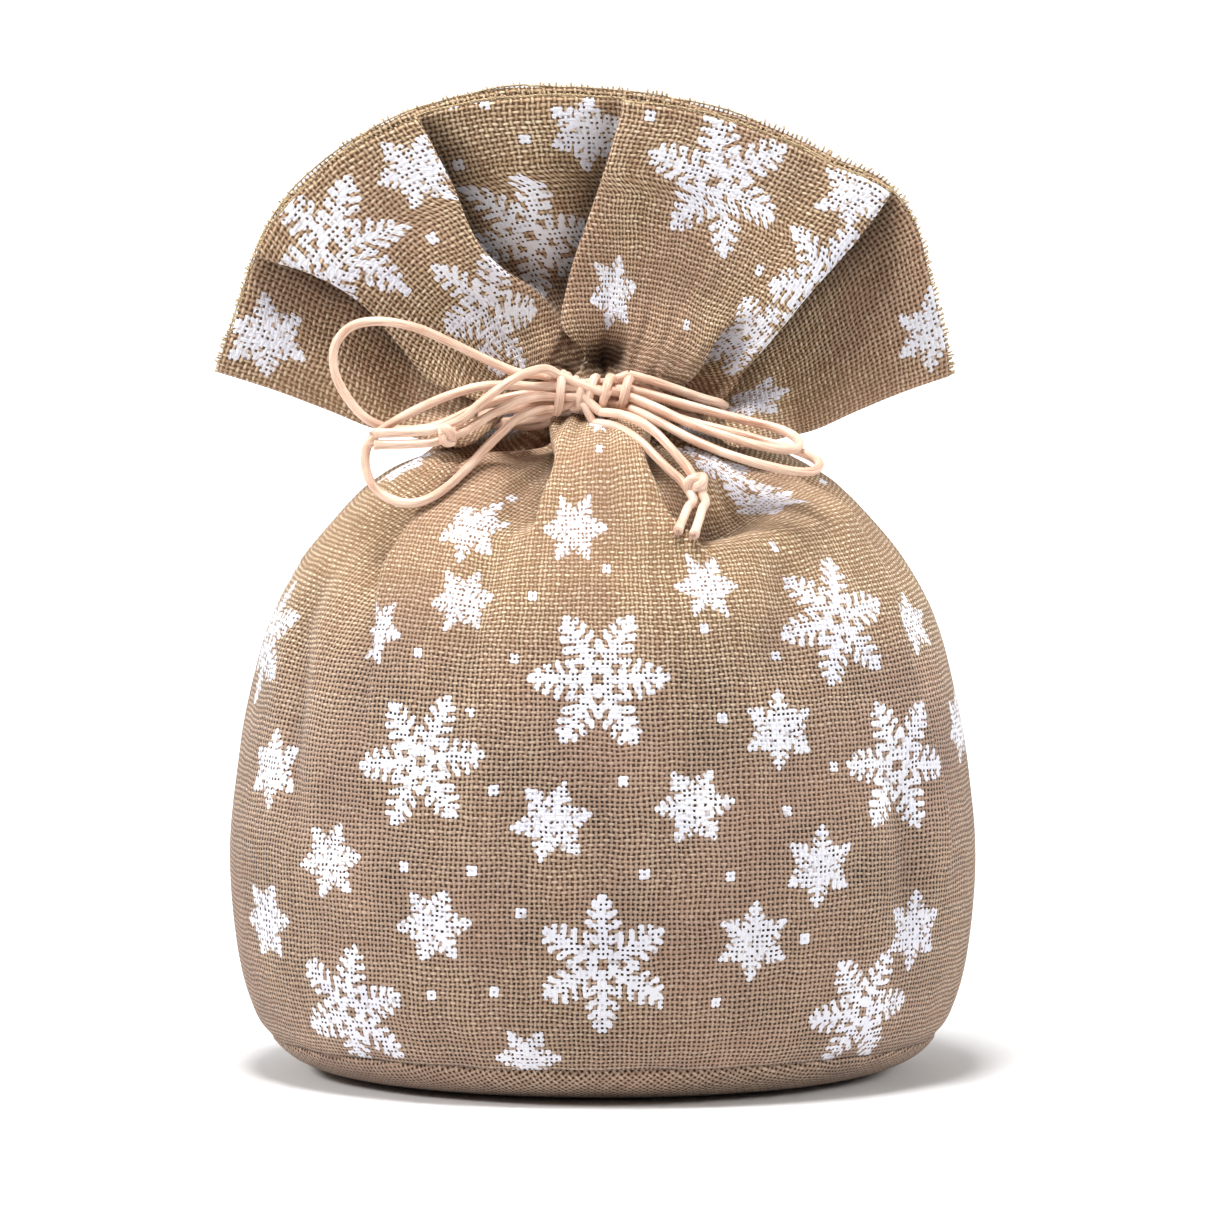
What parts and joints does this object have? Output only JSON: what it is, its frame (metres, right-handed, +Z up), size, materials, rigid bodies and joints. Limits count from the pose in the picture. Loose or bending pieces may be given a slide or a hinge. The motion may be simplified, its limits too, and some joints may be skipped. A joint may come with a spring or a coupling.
{
  "type": "drawstring gift sack",
  "caption": "Round standing gift sack of printed jute-look cloth, drawn in at the neck by satin drawstrings tied in a bow, with the cloth fanned out above.",
  "frame": {"origin": "on the floor under the middle of the sack", "axes": "+Z up, +X from the left side seam to the right one seen from the front, the front with the bow faces -Y"},
  "size_m": [0.1872, 0.1494, 0.2383],
  "materials": {
    "sackcloth": "coarse plain weave in jute tan with a white snowflake print",
    "casing_cloth": "coarse plain weave, unprinted",
    "satin_cord": "peach satin sheen with a slight twist",
    "sewing_thread": "matt spun thread"
  },
  "bodies": {
    "sack": {"front_panel": "sackcloth", "back_panel": "sackcloth", "base_panel": "sackcloth", "front_casing_strip": "casing_cloth", "back_casing_strip": "casing_cloth", "left_side_seam_thread": "sewing_thread", "right_side_seam_thread": "sewing_thread", "base_seam_thread": "sewing_thread", "front_casing_thread": "sewing_thread", "back_casing_thread": "sewing_thread", "left_drawstring": "satin_cord", "right_drawstring": "satin_cord", "bow_knot": "satin_cord"},
    "front_ruff": {"front_ruff": "sackcloth"},
    "back_ruff": {"back_ruff": "sackcloth"},
    "left_loops": {"left_upper_loop": "satin_cord", "left_lower_loop": "satin_cord"},
    "left_tail": {"left_tail_front": "satin_cord", "left_tail_back": "satin_cord", "left_end_knot": "satin_cord", "left_cut_end_upper": "satin_cord", "left_cut_end_lower": "satin_cord"},
    "right_loops": {"right_upper_loop": "satin_cord", "right_lower_loop": "satin_cord"},
    "right_tail": {"right_tail_upper": "satin_cord", "right_tail_lower": "satin_cord", "right_end_knot": "satin_cord", "right_cut_end_left": "satin_cord", "right_cut_end_right": "satin_cord"}
  },
  "joints": [
    {"name": "front_ruff_fold", "type": "hinge", "parent": "sack", "child": "front_ruff", "pos_m": [0, -0.018, 0.161], "axis": [1, 0, 0], "range_deg": [0, 8], "stiffness_Nm_per_rad": 0.02},
    {"name": "back_ruff_fold", "type": "hinge", "parent": "sack", "child": "back_ruff", "pos_m": [0, 0.016, 0.161], "axis": [-1, 0, 0], "range_deg": [0, 25], "stiffness_Nm_per_rad": 0.02},
    {"name": "left_loops_swing", "type": "hinge", "parent": "sack", "child": "left_loops", "pos_m": [-0.002, -0.0225, 0.1665], "axis": [0, 0, 1], "range_deg": [0, 30]},
    {"name": "left_tail_swing", "type": "hinge", "parent": "left_loops", "child": "left_tail", "pos_m": [-0.002, -0.0225, 0.1665], "axis": [0, 0, 1], "range_deg": [0, 20]},
    {"name": "right_loops_swing", "type": "hinge", "parent": "sack", "child": "right_loops", "pos_m": [-0.002, -0.0225, 0.1665], "axis": [0, 0, -1], "range_deg": [0, 30]},
    {"name": "right_tail_lift", "type": "hinge", "parent": "right_loops", "child": "right_tail", "pos_m": [-0.002, -0.0235, 0.163], "axis": [-1, 0, 0], "range_deg": [0, 40]}
  ]
}
